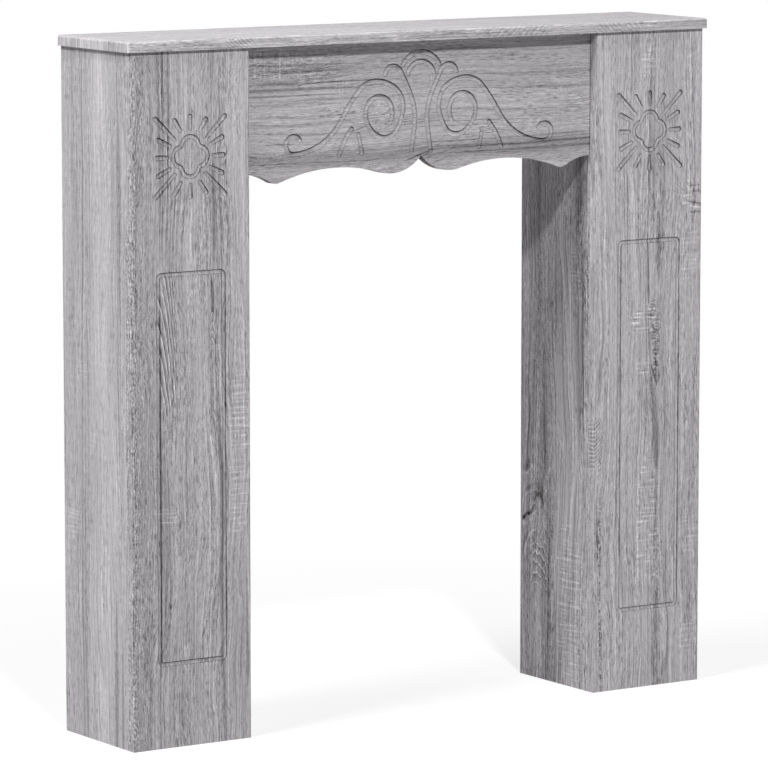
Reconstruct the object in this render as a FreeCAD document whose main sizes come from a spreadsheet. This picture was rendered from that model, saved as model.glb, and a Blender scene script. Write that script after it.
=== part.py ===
import FreeCAD, Part
import math
import os
import re

import Sketcher

# A free-standing fireplace surround of decor-faced board: a mantel on two open-backed box columns,
# with a scalloped frieze hung between them. Hidden cam bolts, cam locks and dowels hold it together.
# The origin is on the floor at the middle of the plan, X to the right, Y to the wall, Z up.

sizes = {
    "board": 15,                # thickness of every board
    "mantel_width": 1000,
    "mantel_depth": 195,
    "mantel_round": 3.5,        # upper edges and front corners of the mantel
    "corner_round": 2.5,        # upright front corners of the columns
    "side_overhang": 5,         # mantel past the columns at each end
    "front_overhang": 5,        # mantel past the column fronts
    "leg_width": 195,
    "leg_height": 985,
    "frieze_setback": 15,       # column front to frieze front
    "belly_offset": 51,         # lower edge: lowest points beside the middle cusp
    "belly_drop": 190.7,
    "belly_rise": 23.7,         # those points up to the cusp
    "crest_offset": 145,        # lower edge: wide crest beside each belly
    "crest_radius": 277,
    "heel_radius": 85,          # lower edge: hollow at each end
    "heel_drop": 180.8,
    "tip_round": 18,            # lower edge: tip between crest and hollow
    "cutter_radius": 4.5,       # round-nosed cutter of all the routed lines
    "scroll_depth": 2.8,        # scroll lines and outer ends of the rays
    "outline_depth": 1.7,       # rectangle and four-lobed ring
    "run_in_depth": 1.2,        # rays and straight leaves start at this depth
    "ornament_grid": 10,        # square grid on which scroll and rays are drawn
    "sunburst_drop": 148.5,     # mantel underside to the middle of the sunburst
    "lobe_radius": 14,          # four-lobed ring in the sunburst
    "lobe_offset": 14.2,
    "panel_width": 107,         # routed rectangle, between the middles of its grooves
    "panel_foot": 120.5,
    "panel_head": 312.5,        # mantel underside to its upper line
    "line_corner": 0.8,         # inside radius where a routed line turns a corner
    "brace_height": 70,
    "brace_lift": 20,           # floor to the lower brace
    "brace_pitch": 32,          # cam bolt to dowel in a brace's end
    "fit": 0.1,                 # clearance of fasteners in their holes
    "blind_floor": 5,           # board left behind a blind hole in its face
    "cam_floor": 2.9,           # board left behind a cam lock
    "thread_radius": 3,
    "shank_radius": 3.5,
    "neck_radius": 2,
    "head_radius": 3,
    "head_length": 3,
    "cam_radius": 7.4,
    "cam_backset": 24,          # joint plane to the middle of the cam lock
    "cam_slot_length": 8,
    "cam_slot_width": 1.6,
    "cam_slot_depth": 2,
    "dowel_radius": 4,
    "dowel_length": 30,
    "dowel_chamfer": 1,
    "mantel_cam_inset": 45,     # front and back edges of a cheek to the mantel's cam bolts
    "front_cam_foot": 80,       # floor to the lowest cam bolt of a column front
    "front_cam_head": 235,      # mantel underside to the highest one
    "frieze_cam_inset": 35,     # upper and lower edges of a frieze end to its cam bolts
    "frieze_dowel_inset": 32,   # each of those cam bolts to the dowel next to it
    "frieze_dowel_pitch": 190,  # dowels between frieze top and mantel
    "bracket_pitch": 320,       # between the two wall brackets
    "bracket_leaf": 40,
    "bracket_width": 20,
    "bracket_plate": 2,
    "bracket_bend": 3,          # outer bend radius
    "wall_hole_radius": 2.5,
    "wall_hole_drop": 26,       # mantel underside to the wall hole
    "screw_inset": 12,          # wall plane to the first bracket screw
    "screw_pitch": 17,
    "screw_radius": 1.6,
    "screw_length": 10,
    "screw_head_radius": 3.2,
    "screw_head_height": 2,
    "screw_slot_length": 4.2,
    "screw_slot_width": 0.8,
    "screw_slot_depth": 1,
}

# Places that several pieces share
outer = "mantel_width / 2 - side_overhang"
inner = outer + " - leg_width"
front = "front_overhang - mantel_depth / 2"
cheek_front = front + " + board"
cheek_depth = "mantel_depth - front_overhang - board"
back = "mantel_depth / 2"
frieze_front = front + " + frieze_setback"
frieze_middle = frieze_front + " + board / 2"
blind_depth = "board - blind_floor"
seat = blind_depth + " - fit"
cam_height = "board - cam_floor - fit"
belly_radius = "(belly_offset * belly_offset + belly_rise * belly_rise) / (2 * belly_rise)"

# Lines of the scroll's right half in grid steps from the middle of the frieze's top edge:
# the way it sets off, in degrees, then the ends of its tangent arcs
volute = (55, [(20.7, -13.55), (23, -14.3), (21.6, -15.6), (18.2, -14.85), (13.6, -10.95),
               (10.75, -7.05), (7.6, -5.7), (4.7, -6.6), (3.1, -9.9), (4.25, -12.9), (7, -13.75),
               (9.5, -10.6), (7.25, -7.95), (5.2, -9.2), (5.3, -11.75)])
stem = (98, [(1.65, -16.05), (1.15, -12.75), (1.8, -7.8), (3.5, -4.45), (5, -3.7), (6.15, -4.75)])
curved_leaf = (-48, [(11.9, -12.4), (14.05, -16.05)])
straight_leaf = ((10.75, -13.2), (10.15, -15.9))
arches = [(59, [(-3.15, -3.57), (3.15, -3.57)]), (74, [(-2.26, -4.85), (2.26, -4.85)])]

# Rays in one quarter of the sunburst, in grid steps from its middle
rays = [((3.7, 0), (5.4, 0)), ((3.3, 1.6), (5.2, 2.5)), ((2.5, 2.4), (5.65, 5.45)),
        ((1.55, 3.6), (2.55, 5.1)), ((0, 3.9), (0, 5.6))]

overrun = 1                     # how far a cutting tool starts outside the face that it enters
tiny = 1e-6                     # lengths in millimetres and turns in radians below this count as none

doc = FreeCAD.newDocument("FireplaceSurround")
sheet = doc.addObject("Spreadsheet::Sheet", "Sizes")
for row, (alias, value) in enumerate(sizes.items(), start=1):
    sheet.set(f"A{row}", str(value))
    sheet.setAlias(f"A{row}", alias)
doc.recompute()

Vector = FreeCAD.Vector
bores = {}                      # board to the tools that cut it
groups = {}                     # fastener group to its pieces
nodes = []                      # finished sub-parts


def size(alias):
    return float(sheet.get(alias))


def formula(text):
    return re.sub(r"[a-z]\w*", lambda word: "Sizes." + word.group(), text)


def place(piece, point):
    for axis, text in zip("xyz", point):
        piece.setExpression("Placement.Base." + axis, formula(text))


def direction(way):
    return Vector(*[float(way[0] + "1") * (axis == way[1]) for axis in "xyz"])


def opposite(way):
    return ("-" if way[0] == "+" else "+") + way[1]


def shifted(point, way, distance):
    moved = list(point)
    axis = "xyz".index(way[1])
    moved[axis] = f"{moved[axis]} {way[0]} ({distance})"
    return moved


def box(name, lengths, corner):
    piece = doc.addObject("Part::Box", name)
    for side, text in zip(("Length", "Width", "Height"), lengths):
        piece.setExpression(side, formula(text))
    place(piece, corner)
    return piece


def rod(name, radius, length, start, way):
    piece = doc.addObject("Part::Cylinder", name)
    piece.setExpression("Radius", formula(radius))
    piece.setExpression("Height", formula(length))
    piece.Placement.Rotation = FreeCAD.Rotation(Vector(0, 0, 1), direction(way))
    place(piece, start)
    return piece


def joined(name, pieces):
    whole = doc.addObject("Part::MultiFuse", name)
    whole.Shapes = pieces
    whole.Refine = True
    return whole


def cut(name, base, tools):
    piece = doc.addObject("Part::Cut", name)
    piece.Base = base
    piece.Tool = joined(name + "_tools", tools) if len(tools) > 1 else tools[0]
    return piece


def rounded(name, base, radius, chosen):
    doc.recompute()
    piece = doc.addObject("Part::Fillet", name)
    piece.Base = base
    numbered = enumerate(base.Shape.Edges, start=1)
    piece.Edges = [(number, radius, radius) for number, edge in numbered if chosen(edge.BoundBox)]
    return piece


def drill(board, point, way, radius, depth):
    tools = bores.setdefault(board, [])
    mouth = shifted(point, opposite(way), overrun)
    tools.append(rod(f"{board}_bore_{len(tools)}", radius, f"{depth} + {overrun}", mouth, way))


def finish(name, blank):
    nodes.append(cut(name, blank, bores[name]))


# Fastener patterns, standing on the joint plane and pointing up out of the board that holds them


def make_cam_bolt():
    shank = "cam_backset - cam_radius - fit"
    head = "cam_backset - head_length / 2"
    return joined("cam_bolt", [
        rod("bolt_thread", "thread_radius", seat, ["0", "0", f"0 - ({seat})"], "+z"),
        rod("bolt_shank", "shank_radius", shank, ["0", "0", "0"], "+z"),
        rod("bolt_neck", "neck_radius", "cam_radius + fit", ["0", "0", shank], "+z"),
        rod("bolt_head", "head_radius", "head_length", ["0", "0", head], "+z")])


def cross_slot(name, length, width, low, height):
    corner = [f"0 - {length} / 2", f"0 - {width} / 2", low]
    turned = [f"0 - {width} / 2", f"0 - {length} / 2", low]
    return [box(name + "_along", [length, width, height], corner),
            box(name + "_across", [width, length, height], turned)]


def make_cam_lock():
    # Its top lies in the board's surface, and the bolt comes in along +X at mid board
    drum = rod("cam_drum", "cam_radius", cam_height, ["0", "0", f"0 - ({cam_height})"], "+z")
    middle = "0 - board / 2"
    rim = f"0 - cam_radius - {overrun}"
    throat = rod("cam_throat", "neck_radius + fit", f"cam_radius + {overrun}", [rim, "0", middle], "+x")
    pocket_start = ["0 - head_length / 2 - fit", "0", middle]
    pocket = rod("cam_pocket", "head_radius + fit", "head_length + 2 * fit", pocket_start, "+x")
    slots = cross_slot("cam_slot", "cam_slot_length", "cam_slot_width", "0 - cam_slot_depth",
                       f"cam_slot_depth + {overrun}")
    return cut("cam_lock", drum, [throat, pocket] + slots)


def make_dowel():
    length = "dowel_length - 2 * dowel_chamfer"
    foot, tip = f"0 - ({seat})", f"dowel_length - ({seat})"
    parts = [rod("dowel_pin", "dowel_radius", length, ["0", "0", f"{foot} + dowel_chamfer"], "+z")]
    for name, level, way in (("foot", foot, "+z"), ("tip", tip, "-z")):
        end = doc.addObject("Part::Cone", "dowel_" + name)
        end.setExpression("Radius1", formula("dowel_radius - dowel_chamfer"))
        end.setExpression("Radius2", formula("dowel_radius"))
        end.setExpression("Height", formula("dowel_chamfer"))
        end.Placement.Rotation = FreeCAD.Rotation(Vector(0, 0, 1), direction(way))
        place(end, ["0", "0", level])
        parts.append(end)
    return joined("dowel", parts)


def make_bracket_screw():
    foot = "0 - screw_head_height"
    head = rod("screw_head", "screw_head_radius", "screw_head_height", ["0", "0", foot], "+z")
    shank = rod("screw_shank", "screw_radius", "screw_length", ["0", "0", "0"], "+z")
    slots = cross_slot("screw_slot", "screw_slot_length", "screw_slot_width", f"{foot} - {overrun}",
                       f"screw_slot_depth + {overrun}")
    return cut("bracket_screw", joined("screw_blank", [head, shank]), slots)


cam_bolt = make_cam_bolt()
cam_lock = make_cam_lock()
dowel = make_dowel()
bracket_screw = make_bracket_screw()


def add(group, pattern, point, rotation):
    pieces = groups.setdefault(group, [])
    link = doc.addObject("App::Link", f"{group}_{len(pieces) + 1}")
    link.LinkedObject = pattern
    link.Placement.Rotation = rotation
    place(link, point)
    pieces.append(link)


def upright_to(way):
    return FreeCAD.Rotation(Vector(0, 0, 1), direction(way))


def cam_joint(group, face_board, edge_board, point, along, mouth):
    # A bolt in the face of one board runs into the edge of another, to a cam lock open to mouth
    drum = shifted(shifted(point, along, "cam_backset"), mouth, "board / 2")
    drill(face_board, point, opposite(along), "thread_radius + fit", blind_depth)
    drill(edge_board, point, along, "shank_radius + fit", "cam_backset")
    drill(edge_board, drum, opposite(mouth), "cam_radius + fit", "board - cam_floor")
    turn = FreeCAD.Rotation(direction(along), Vector(), direction(mouth), "ZXY")
    add(group + "_cam_bolts", cam_bolt, point, upright_to(along))
    add(group + "_cam_locks", cam_lock, drum, turn)


def dowel_joint(group, face_board, edge_board, point, along):
    drill(face_board, point, opposite(along), "dowel_radius + fit", blind_depth)
    drill(edge_board, point, along, "dowel_radius + fit", f"dowel_length - ({seat}) + fit")
    add(group + "_dowels", dowel, point, upright_to(along))


# Routed lines: the space swept by a round-nosed cutter, in a board whose face is at Y = 0


def on_face(point, depth):
    return Vector(point[0], depth - size("cutter_radius"), point[1])


def round_nose(tube, ends):
    caps = [Part.makeSphere(size("cutter_radius"), end, way, 0, 90, 360) for end, way in ends]
    return tube.fuse(caps)


def swept(edges):
    first = edges[0]
    begin = first.valueAt(first.FirstParameter)
    ring = Part.makeCircle(size("cutter_radius"), begin, first.tangentAt(first.FirstParameter))
    return Part.Wire(edges).makePipe(Part.Face(Part.Wire(ring)))


def straight_cut(start, end):
    begin = on_face(start, size("run_in_depth"))
    stop = on_face(end, size("scroll_depth"))
    along = stop - begin
    tube = Part.makeCylinder(size("cutter_radius"), along.Length, begin, along)
    return round_nose(tube, [(begin, along * -1), (stop, along)])


def arc_through(depth, *points):
    return Part.Arc(*[on_face(point, size(depth)) for point in points]).toShape()


def line_between(depth, *points):
    return Part.LineSegment(*[on_face(point, size(depth)) for point in points]).toShape()


def tangent_arcs(heading, points):
    edges = []
    for (x0, z0), (x1, z1) in zip(points, points[1:]):
        chord = math.atan2(z1 - z0, x1 - x0)
        half_turn = math.remainder(chord - heading, 2 * math.pi)
        if abs(half_turn) < tiny:
            edges.append(line_between("scroll_depth", (x0, z0), (x1, z1)))
        else:
            bow = math.tan(half_turn / 2) * math.hypot(x1 - x0, z1 - z0) / 2
            crown = ((x0 + x1) / 2 + bow * math.sin(chord), (z0 + z1) / 2 - bow * math.cos(chord))
            edges.append(arc_through("scroll_depth", (x0, z0), crown, (x1, z1)))
        heading += 2 * half_turn
    return edges


def on_grid(points):
    return [(x * size("ornament_grid"), z * size("ornament_grid")) for x, z in points]


def curved_cut(line):
    heading, points = line
    edges = tangent_arcs(math.radians(heading), on_grid(points))
    first, last = edges[0], edges[-1]
    ends = [(first.valueAt(first.FirstParameter), first.tangentAt(first.FirstParameter) * -1),
            (last.valueAt(last.LastParameter), last.tangentAt(last.LastParameter))]
    return round_nose(swept(edges), ends)


def four_lobes():
    radius, offset = size("lobe_radius"), size("lobe_offset")
    fillet = size("cutter_radius") + size("line_corner")
    half = offset * math.sin(math.pi / 4)
    hollow = half + math.sqrt((radius + fillet) ** 2 - half ** 2)
    reach = radius / (radius + fillet)
    edges = []
    for quarter in range(4):
        def turned(x, z, angle=quarter * math.pi / 2):
            return (x * math.cos(angle) - z * math.sin(angle), x * math.sin(angle) + z * math.cos(angle))
        side = hollow * math.sin(math.pi / 4)
        touch = (offset + (side - offset) * reach, side * reach)
        pinch = (hollow - fillet) * math.sin(math.pi / 4)
        edges.append(arc_through("outline_depth", turned(touch[0], -touch[1]), turned(offset + radius, 0),
                                 turned(*touch)))
        edges.append(arc_through("outline_depth", turned(*touch), turned(pinch, pinch),
                                 turned(touch[1], touch[0])))
    return swept(edges)


def panel_line():
    # A rectangle with round corners, from the middle of its foot upwards
    half = size("panel_width") / 2
    corner = size("cutter_radius") + size("line_corner")
    height = size("leg_height") - size("panel_head") - size("panel_foot")
    near = corner * (1 - math.sin(math.pi / 4))
    edges = []
    for turn in range(2):
        def turned(x, z, way=1 - 2 * turn):
            return (x * way, height / 2 + (z - height / 2) * way)
        edges.append(line_between("outline_depth", turned(corner - half, 0), turned(half - corner, 0)))
        edges.append(arc_through("outline_depth", turned(half - corner, 0), turned(half - near, near),
                                 turned(half, corner)))
        edges.append(line_between("outline_depth", turned(half, corner), turned(half, height - corner)))
        edges.append(arc_through("outline_depth", turned(half, height - corner),
                                 turned(half - near, height - near), turned(half - corner, height)))
    return swept(edges)


def mirrored(shape):
    return shape.mirror(Vector(), Vector(1, 0, 0))


def routed(name, shapes, point):
    piece = doc.addObject("Part::Feature", name)
    piece.Shape = Part.makeCompound(shapes)
    place(piece, point)
    return piece


def scroll_lines():
    half = [curved_cut(line) for line in (volute, stem, curved_leaf)]
    half.append(straight_cut(*on_grid(straight_leaf)))
    return half + [mirrored(shape) for shape in half] + [curved_cut(line) for line in arches]


def sunburst_rays():
    lines = set()
    for start, end in rays:
        for across in (1, -1):
            for up in (1, -1):
                lines.add(((start[0] * across, start[1] * up), (end[0] * across, end[1] * up)))
    return [straight_cut(*on_grid(line)) for line in sorted(lines)]


# Boards


def slab(name, sign, near, far, y_start, depth, z_start, height):
    corner = f"({near})" if sign == "+" else f"0 - ({far})"
    return box(name, [f"({far}) - ({near})", depth, height], [corner, y_start, z_start])


def off_middle(sign, distance):
    return f"0 {sign} ({distance})"


def scallop():
    # Right half of the frieze's lower edge, from the middle cusp outwards: radius, centre and ends of arcs
    round_belly = (size("belly_offset") ** 2 + size("belly_rise") ** 2) / (2 * size("belly_rise"))
    belly = Vector(size("belly_offset"), round_belly - size("belly_drop"))
    span = round_belly + size("crest_radius")
    across = size("crest_offset") - size("belly_offset")
    crest = Vector(size("crest_offset"), belly.y - math.sqrt(span ** 2 - across ** 2))
    half = size("mantel_width") / 2 - size("side_overhang") - size("leg_width")
    heel = Vector(half, -size("heel_drop") - size("heel_radius"))
    cusp = Vector(0, size("belly_rise") - size("belly_drop"))
    crest_reach = size("crest_radius") + size("tip_round")
    heel_reach = size("heel_radius") + size("tip_round")
    gap = heel - crest
    share = (crest_reach ** 2 - heel_reach ** 2 + gap.Length ** 2) / (2 * gap.Length)
    rise = math.sqrt(crest_reach ** 2 - share ** 2)
    unit = gap / gap.Length
    tip = crest + unit * share + Vector(-unit.y, unit.x) * rise
    turn = belly + (crest - belly) * (round_belly / span)
    leave = crest + (tip - crest) * (size("crest_radius") / crest_reach)
    meet = heel + (tip - heel) * (size("heel_radius") / heel_reach)
    end = Vector(half, -size("heel_drop"))
    return [(belly_radius, belly, cusp, turn), ("crest_radius", crest, turn, leave),
            ("tip_round", tip, leave, meet), ("heel_radius", heel, meet, end)]


def arc_about(centre, begin, end):
    middle = (begin + end) / 2 - centre
    radius = (begin - centre).Length
    return Part.Arc(begin, centre + middle * (radius / middle.Length), end)


def flipped(point):
    return Vector(-point.x, point.y)


def frieze_blank():
    body = doc.addObject("PartDesign::Body", "frieze_blank")
    sketch = body.newObject("Sketcher::SketchObject", "frieze_outline")
    plane = [item for item in body.Origin.OriginFeatures if item.Role == "XZ_Plane"][0]
    sketch.AttachmentSupport = [(plane, "")]
    sketch.MapMode = "FlatFace"
    edge = scallop()
    end = edge[-1][3]
    corner = Vector(end.x, 0)
    top = sketch.addGeometry(Part.LineSegment(flipped(corner), corner), False)
    sketch.addGeometry(Part.LineSegment(corner, end), False)
    sketch.addGeometry(Part.LineSegment(flipped(end), flipped(corner)), False)
    for radius, centre, begin, stop in edge:
        for side in (Vector, flipped):
            curve = sketch.addGeometry(arc_about(side(centre), side(begin), side(stop)), False)
            reach = (begin - centre).Length
            number = sketch.addConstraint(Sketcher.Constraint("Radius", curve, reach))
            sketch.setExpression(f"Constraints[{number}]", formula(radius))
    number = sketch.addConstraint(Sketcher.Constraint("DistanceX", top, 1, top, 2, 2 * end.x))
    sketch.setExpression(f"Constraints[{number}]", formula(f"2 * ({inner})"))
    pad = body.newObject("PartDesign::Pad", "frieze_pad")
    pad.Profile = sketch
    pad.Reversed = True
    pad.setExpression("Length", formula("board"))
    place(body, ["0", frieze_front, "leg_height"])
    return body


def leg(side):
    sign = "-" if side == "left" else "+"
    out = sign + "x"
    home = opposite(out)
    names = {piece: f"{side}_leg_{piece}" for piece in
             ("front", "outer_side", "inner_side", "lower_brace", "upper_brace")}

    blank = slab(names["front"] + "_blank", sign, inner, outer, front, "board", "0", "leg_height")
    doc.recompute()
    face = blank.Shape.BoundBox.YMin
    soft = rounded(names["front"] + "_soft", blank, size("corner_round"),
                   lambda reach: reach.YMax - face < tiny and reach.ZLength > reach.XLength)
    middle = off_middle(sign, f"{outer} - leg_width / 2")
    burst = [four_lobes()] + sunburst_rays()
    ornament = routed(side + "_sunburst", burst, [middle, front, "leg_height - sunburst_drop"])
    panel = routed(side + "_panel_line", [panel_line()], [middle, front, "panel_foot"])
    bores.setdefault(names["front"], []).extend([ornament, panel])

    cheeks = {"outer_side": (f"{outer} - board", outer, home),
              "inner_side": (inner, f"{inner} + board", out)}
    blanks = {"front": soft}
    for cheek, (near, far, mouth) in cheeks.items():
        name = names[cheek]
        middle = off_middle(sign, f"{near} + board / 2")
        inside = near if cheek == "outer_side" else far
        blanks[cheek] = slab(name + "_blank", sign, near, far, cheek_front, cheek_depth, "0", "leg_height")

        # Mantel on the cheek's top edge
        for y in (f"{cheek_front} + mantel_cam_inset", f"{back} - mantel_cam_inset"):
            cam_joint(f"{side}_mantel", "mantel_top", name, [middle, y, "leg_height"], "-z", mouth)
        halfway = [middle, f"({cheek_front} + {back}) / 2", "leg_height"]
        dowel_joint(f"{side}_mantel", "mantel_top", name, halfway, "-z")

        # Column front on the cheek's front edge
        low, high = "front_cam_foot", "leg_height - front_cam_head"
        waist = f"({low} + {high}) / 2"
        for z in (low, waist, high):
            cam_joint(f"{side}_front", names["front"], name, [middle, cheek_front, z], "+y", mouth)
        for z in (f"({low} + {waist}) / 2", f"({high} + {waist}) / 2"):
            dowel_joint(f"{side}_front", names["front"], name, [middle, cheek_front, z], "+y")

        # Ends of the braces on the cheek's hollow side
        for level in ("brace_lift", "leg_height - brace_height"):
            brace = names["lower_brace" if level == "brace_lift" else "upper_brace"]
            point = [off_middle(sign, inside), f"{back} - board / 2", f"{level} + brace_height / 2"]
            cam_joint(f"{side}_brace", name, brace, shifted(point, "-z", "brace_pitch / 2"), mouth, "+y")
            dowel_joint(f"{side}_brace", name, brace, shifted(point, "+z", "brace_pitch / 2"), mouth)

    # End of the frieze on the face of the inner cheek
    for drop, pin in (("frieze_cam_inset", "+"), ("heel_drop - frieze_cam_inset", "-")):
        point = [off_middle(sign, inner), frieze_middle, f"leg_height - ({drop})"]
        cam_joint("frieze", names["inner_side"], "frieze_board", point, home, "+y")
        point = [off_middle(sign, inner), frieze_middle, f"leg_height - ({drop} {pin} frieze_dowel_inset)"]
        dowel_joint("frieze_end", names["inner_side"], "frieze_board", point, home)

    for brace, level in (("lower_brace", "brace_lift"), ("upper_brace", "leg_height - brace_height")):
        near, far = f"{inner} + board", f"{outer} - board"
        blanks[brace] = slab(names[brace] + "_blank", sign, near, far, f"{back} - board", "board",
                             level, "brace_height")
    for piece, blank in blanks.items():
        finish(names[piece], blank)


def frieze():
    blank = frieze_blank()
    scroll = routed("frieze_scroll", scroll_lines(), ["0", frieze_front, "leg_height"])
    bores["frieze_board"].append(scroll)
    for step in (-1, 0, 1):
        point = [f"{step} * frieze_dowel_pitch", frieze_middle, "leg_height"]
        dowel_joint("frieze_top", "mantel_top", "frieze_board", point, "-z")
    finish("frieze_board", blank)


def wall_bracket(side):
    sign = "-" if side == "left" else "+"
    name = side + "_wall_bracket"
    middle = off_middle(sign, "bracket_pitch / 2")
    start = f"{middle} - bracket_width / 2"
    under = "leg_height - bracket_plate"
    top_leaf = box(name + "_top_leaf", ["bracket_width", "bracket_leaf", "bracket_plate"],
                   [start, f"{back} - bracket_leaf", under])
    wall_leaf = box(name + "_wall_leaf", ["bracket_width", "bracket_plate", "bracket_leaf"],
                    [start, f"{back} - bracket_plate", "leg_height - bracket_leaf"])
    angle = joined(name + "_angle", [top_leaf, wall_leaf])
    doc.recompute()
    reach = angle.Shape.BoundBox
    bent = rounded(name + "_bent", angle, size("bracket_bend"),
                   lambda edge: reach.YMax - edge.YMin < tiny and reach.ZMax - edge.ZMin < tiny)
    for step in (0, 1):
        y = f"{back} - screw_inset - {step} * screw_pitch"
        drill(name, [middle, y, under], "+z", "screw_radius + fit", f"bracket_plate + {overrun}")
        depth = "screw_length - bracket_plate + fit"
        drill("mantel_top", [middle, y, "leg_height"], "+z", "screw_radius + fit", depth)
        add(side + "_bracket_screws", bracket_screw, [middle, y, under], upright_to("+z"))
    hole = [middle, back, "leg_height - wall_hole_drop"]
    drill(name, hole, "-y", "wall_hole_radius", f"bracket_plate + {overrun}")
    finish(name, bent)


def mantel():
    lengths = ["mantel_width", "mantel_depth", "board"]
    blank = box("mantel_blank", lengths, ["0 - mantel_width / 2", "0 - mantel_depth / 2", "leg_height"])
    doc.recompute()
    reach = blank.Shape.BoundBox

    def soft_edge(edge):
        upper = edge.ZMin > reach.ZMin + tiny and edge.YMin < reach.YMax - tiny
        front_corner = edge.ZLength > tiny and edge.YMax < reach.YMax - tiny
        return upper or front_corner

    finish("mantel_top", rounded("mantel_soft", blank, size("mantel_round"), soft_edge))


for side in ("left", "right"):
    leg(side)
    wall_bracket(side)
frieze()
mantel()
for group, pieces in groups.items():
    bundle = doc.addObject("Part::Compound", group)
    bundle.Links = pieces
    nodes.append(bundle)
doc.recompute()

failed = [item.Name for item in doc.Objects if {"Invalid", "Error"} & set(item.State)]
if failed:
    raise RuntimeError("not built: " + ", ".join(failed))
for node in nodes:
    if node.Shape.isNull() or not node.Shape.isValid():
        raise RuntimeError("bad shape: " + node.Label)
os.makedirs("parts", exist_ok=True)
for node in nodes:
    node.Shape.exportStep(f"parts/{node.Label}.step")
    print(f"{node.Label}: {len(node.Shape.Solids)} solids, {node.Shape.Volume / 1000:.1f} cm3")
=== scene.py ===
import math

import bpy
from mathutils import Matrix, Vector


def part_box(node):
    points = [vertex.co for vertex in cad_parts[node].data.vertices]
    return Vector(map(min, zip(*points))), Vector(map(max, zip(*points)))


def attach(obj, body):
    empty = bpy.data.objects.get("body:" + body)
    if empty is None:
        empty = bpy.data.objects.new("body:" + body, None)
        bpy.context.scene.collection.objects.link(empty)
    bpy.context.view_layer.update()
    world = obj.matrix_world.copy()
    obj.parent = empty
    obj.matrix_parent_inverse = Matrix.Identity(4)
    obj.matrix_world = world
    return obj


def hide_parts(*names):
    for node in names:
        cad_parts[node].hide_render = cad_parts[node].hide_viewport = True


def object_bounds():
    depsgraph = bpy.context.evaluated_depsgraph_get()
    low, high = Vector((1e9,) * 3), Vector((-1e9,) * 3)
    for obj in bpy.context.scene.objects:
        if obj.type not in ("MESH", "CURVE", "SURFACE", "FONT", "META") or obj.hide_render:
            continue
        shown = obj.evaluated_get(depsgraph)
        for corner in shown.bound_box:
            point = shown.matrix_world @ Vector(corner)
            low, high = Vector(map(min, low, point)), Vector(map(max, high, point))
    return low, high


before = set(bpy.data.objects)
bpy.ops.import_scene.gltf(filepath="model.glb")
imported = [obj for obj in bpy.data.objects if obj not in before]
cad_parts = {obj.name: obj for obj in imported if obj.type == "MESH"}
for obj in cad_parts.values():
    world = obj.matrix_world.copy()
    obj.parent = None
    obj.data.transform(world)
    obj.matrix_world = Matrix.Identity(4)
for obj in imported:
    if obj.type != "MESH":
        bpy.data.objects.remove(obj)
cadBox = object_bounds()
print("frame:", len(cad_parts), "nodes")

origin = (0.0, 0.0, 0.0)
white = (1.0, 1.0, 1.0, 1.0)
quarter = math.radians(90)
millimetres = 1000.0      # in a metre
greyLevels = 255.0      # marks in the wood are as dark as so many of these


# node helpers: values may be plain numbers or sockets

def wire(tree, kind, inputs=None, **settings):
    node = tree.nodes.new(kind)
    for name, value in settings.items():
        setattr(node, name, value)
    for key, value in (inputs or {}).items():
        if isinstance(value, bpy.types.NodeSocket):
            tree.links.new(value, node.inputs[key])
        else:
            node.inputs[key].default_value = value
    return node


def calc(tree, operation, *values):
    return wire(tree, "ShaderNodeMath", dict(enumerate(values)), operation=operation).outputs[0]


def chain(tree, operation, values):
    result, *others = values
    for value in others:
        result = calc(tree, operation, result, value)
    return result


def total(tree, *values):
    return chain(tree, "ADD", values)


def times(tree, *values):
    return chain(tree, "MULTIPLY", values)


def minus(tree, value, other):
    return calc(tree, "SUBTRACT", value, other)


def absolute(tree, value):
    return calc(tree, "ABSOLUTE", value)


def ratio(tree, value, middle, half):
    return calc(tree, "DIVIDE", minus(tree, value, middle), half)


def vectorCalc(tree, operation, vector, other):
    return wire(tree, "ShaderNodeVectorMath", {0: vector, 1: other}, operation=operation).outputs[0]


def split(tree, vector):
    return tuple(wire(tree, "ShaderNodeSeparateXYZ", {0: vector}).outputs)


def join(tree, x=0.0, y=0.0, z=0.0):
    return wire(tree, "ShaderNodeCombineXYZ", {0: x, 1: y, 2: z}).outputs[0]


def ease(tree, value, low, high, start=0.0, end=1.0):
    keys = {"Value": value, "From Min": low, "From Max": high, "To Min": start, "To Max": end}
    return wire(tree, "ShaderNodeMapRange", keys, interpolation_type="SMOOTHSTEP").outputs["Result"]


def grainNoise(tree, vector, across, along, detail=0.0):
    # feature size in millimetres across and along the grain, centred on zero
    scale = (1 / across, 1 / along, 1 / across)
    placed = wire(tree, "ShaderNodeMapping", {"Vector": vector, "Scale": scale}).outputs[0]
    keys = {"Vector": placed, "Scale": 1.0, "Detail": detail}
    return minus(tree, wire(tree, "ShaderNodeTexNoise", keys).outputs[0], 0.5)


def noiseMask(tree, vector, across, along, low, high, detail=0.0):
    return ease(tree, grainNoise(tree, vector, across, along, detail), low, high)


def newGroup(name, inputs, outputs):
    tree = bpy.data.node_groups.new(name, "ShaderNodeTree")
    for label, value in inputs.items():
        kind = "NodeSocketVector" if isinstance(value, tuple) else "NodeSocketFloat"
        tree.interface.new_socket(label, in_out="INPUT", socket_type=kind).default_value = value
    for label in outputs:
        kind = "NodeSocketVector" if label == "Vector" else "NodeSocketFloat"
        tree.interface.new_socket(label, in_out="OUTPUT", socket_type=kind)
    return tree, tree.nodes.new("NodeGroupInput").outputs, tree.nodes.new("NodeGroupOutput").inputs


def useGroup(tree, group, inputs):
    return wire(tree, "ShaderNodeGroup", inputs, node_tree=group).outputs


def newMaterial(name):
    material = bpy.data.materials.new(name)
    material.use_nodes = True
    return material, material.node_tree, material.node_tree.nodes["Principled BSDF"]


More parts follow.
